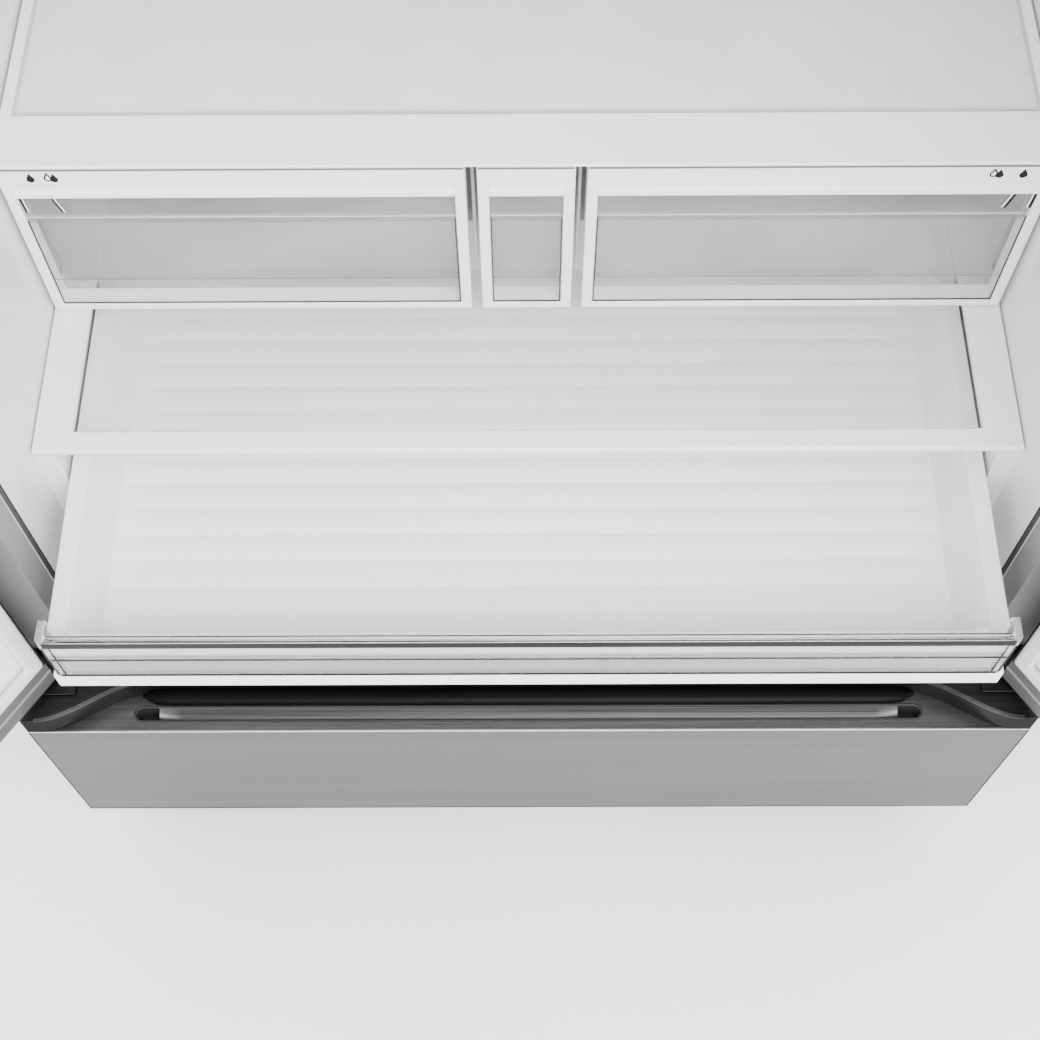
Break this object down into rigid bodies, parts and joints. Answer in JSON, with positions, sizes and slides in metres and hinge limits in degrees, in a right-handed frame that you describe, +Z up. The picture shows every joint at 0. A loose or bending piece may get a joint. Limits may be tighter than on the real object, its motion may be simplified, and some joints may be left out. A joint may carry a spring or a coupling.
{
  "type": "french door refrigerator",
  "caption": "Free-standing refrigerator with paired hinged doors over a freezer drawer, with crispers, a full-width deli drawer and glass shelves inside.",
  "frame": {"origin": "on the floor, in the middle of the object's width and depth with the doors at their rest angle", "axes": "+Z up, +Y towards the back panel, -Y the side the doors and drawers face, +X to the right seen from the front"},
  "size_m": [1.451, 1.0734, 1.665],
  "materials": {
    "steel": "satin",
    "dark_steel": "satin",
    "grey_paint": "satin",
    "zinc": "satin",
    "casting": "matte",
    "fin": "satin",
    "white": "satin",
    "clear": "gloss",
    "glass": "gloss",
    "rubber": "matte",
    "foam": "matte",
    "black": "matte"
  },
  "bodies": {
    "cabinet": {"cabinet_wrapper": "grey_paint", "front_frame": "grey_paint", "back_panel": "zinc", "foam_body": "foam", "fridge_liner": "white", "freezer_liner": "white", "evaporator_cover": "white", "base_frame": "zinc", "toe_grille": "black", "compressor": "casting", "condenser": "fin", "machine_cover": "zinc", "power_inlet": "black", "crisper_shelf_frame": "white", "crisper_shelf_glass": "glass", "mid_shelf": "glass", "upper_shelf": "glass", "air_tower": "white", "deli_cover_frame": "white", "deli_cover_glass": "glass", "top_hinge_left": "zinc", "top_hinge_right": "zinc", "bottom_hinge_left": "zinc", "bottom_hinge_right": "zinc"},
    "foot_left": {"levelling_foot_left": "black"},
    "foot_right": {"levelling_foot_right": "black"},
    "roller_left": {"rear_roller_left": "black"},
    "roller_right": {"rear_roller_right": "black"},
    "deli_drawer": {"deli_bin": "white", "deli_lens": "clear"},
    "crisper_left": {"crisper_left_bin": "clear", "crisper_left_frame": "white"},
    "crisper_right": {"crisper_right_bin": "clear", "crisper_right_frame": "white"},
    "humidity_slider_left": {"humidity_slider_left": "white"},
    "humidity_slider_right": {"humidity_slider_right": "white"},
    "centre_drawer": {"centre_drawer_bin": "clear", "centre_drawer_frame": "white"},
    "freezer_drawer": {"freezer_front": "steel", "freezer_cap": "dark_steel", "freezer_core": "white", "freezer_gasket": "rubber", "freezer_basket": "white"},
    "freezer_tray": {"freezer_tray": "clear"},
    "freezer_rail_left": {"freezer_rail_left": "zinc"},
    "freezer_rail_right": {"freezer_rail_right": "zinc"},
    "hinge_bushing_left": {"hinge_bushing_left": "white"},
    "hinge_bushing_right": {"hinge_bushing_right": "white"},
    "door_left": {"door_left_skin": "steel", "door_left_core": "white", "door_left_gasket": "rubber", "door_left_low_bin": "clear", "door_left_high_bin": "clear"},
    "door_right": {"door_right_skin": "steel", "door_right_core": "white", "door_right_gasket": "rubber", "door_right_low_bin": "clear", "door_right_high_bin": "clear"},
    "flipper": {"flipper_mullion": "grey_paint"}
  },
  "joints": [
    {"name": "left_door_swing", "type": "hinge", "parent": "cabinet", "child": "hinge_bushing_left", "pos_m": [-0.4435, -0.1353, 0.375], "axis": [0, 0, -1], "range_deg": [-62, 6]},
    {"name": "left_door_close", "type": "hinge", "parent": "hinge_bushing_left", "child": "door_left", "pos_m": [-0.4435, -0.1353, 0.375], "axis": [0, 0, -1], "range_deg": [-62, 0]},
    {"name": "right_door_swing", "type": "hinge", "parent": "cabinet", "child": "hinge_bushing_right", "pos_m": [0.4435, -0.1353, 0.375], "axis": [0, 0, 1], "range_deg": [-62, 6]},
    {"name": "right_door_close", "type": "hinge", "parent": "hinge_bushing_right", "child": "door_right", "pos_m": [0.4435, -0.1353, 0.375], "axis": [0, 0, 1], "range_deg": [-62, 0]},
    {"name": "flipper_turn", "type": "hinge", "parent": "door_left", "child": "flipper", "pos_m": [-0.64878, -0.50044, 1], "axis": [0, 0, 1], "range_deg": [-90, 0]},
    {"name": "deli_drawer_slide", "type": "slide", "parent": "cabinet", "child": "deli_drawer", "axis": [0, -1, 0], "range_m": [-0.158, 0.14]},
    {"name": "left_crisper_slide", "type": "slide", "parent": "cabinet", "child": "crisper_left", "axis": [0, -1, 0], "range_m": [0, 0.28]},
    {"name": "left_humidity_slide", "type": "slide", "parent": "crisper_left", "child": "humidity_slider_left", "axis": [1, 0, 0], "range_m": [-0.02, 0.02]},
    {"name": "right_crisper_slide", "type": "slide", "parent": "cabinet", "child": "crisper_right", "axis": [0, -1, 0], "range_m": [0, 0.28]},
    {"name": "right_humidity_slide", "type": "slide", "parent": "crisper_right", "child": "humidity_slider_right", "axis": [1, 0, 0], "range_m": [-0.02, 0.02]},
    {"name": "centre_drawer_slide", "type": "slide", "parent": "cabinet", "child": "centre_drawer", "axis": [0, -1, 0], "range_m": [0, 0.25]},
    {"name": "freezer_drawer_slide", "type": "slide", "parent": "cabinet", "child": "freezer_drawer", "axis": [0, -1, 0], "range_m": [0, 0.4]},
    {"name": "left_rail_slide", "type": "slide", "parent": "cabinet", "child": "freezer_rail_left", "axis": [0, -1, 0], "range_m": [0, 0.2]},
    {"name": "right_rail_slide", "type": "slide", "parent": "cabinet", "child": "freezer_rail_right", "axis": [0, -1, 0], "range_m": [0, 0.2]},
    {"name": "freezer_tray_slide", "type": "slide", "parent": "freezer_drawer", "child": "freezer_tray", "axis": [0, -1, 0], "range_m": [0, 0.19]},
    {"name": "left_foot_turn", "type": "hinge", "parent": "cabinet", "child": "foot_left", "pos_m": [-0.4, -0.0473, 0.02], "axis": [0, 0, 1], "continuous": true},
    {"name": "left_roller_turn", "type": "hinge", "parent": "cabinet", "child": "roller_left", "pos_m": [-0.4, 0.4727, 0.022], "axis": [1, 0, 0], "continuous": true},
    {"name": "right_foot_turn", "type": "hinge", "parent": "cabinet", "child": "foot_right", "pos_m": [0.4, -0.0473, 0.02], "axis": [0, 0, 1], "continuous": true},
    {"name": "right_roller_turn", "type": "hinge", "parent": "cabinet", "child": "roller_right", "pos_m": [0.4, 0.4727, 0.022], "axis": [1, 0, 0], "continuous": true}
  ],
  "couplings": [
    {"joint": "left_rail_slide", "follows": "freezer_drawer_slide", "ratio": 0.5},
    {"joint": "right_rail_slide", "follows": "freezer_drawer_slide", "ratio": 0.5}
  ]
}
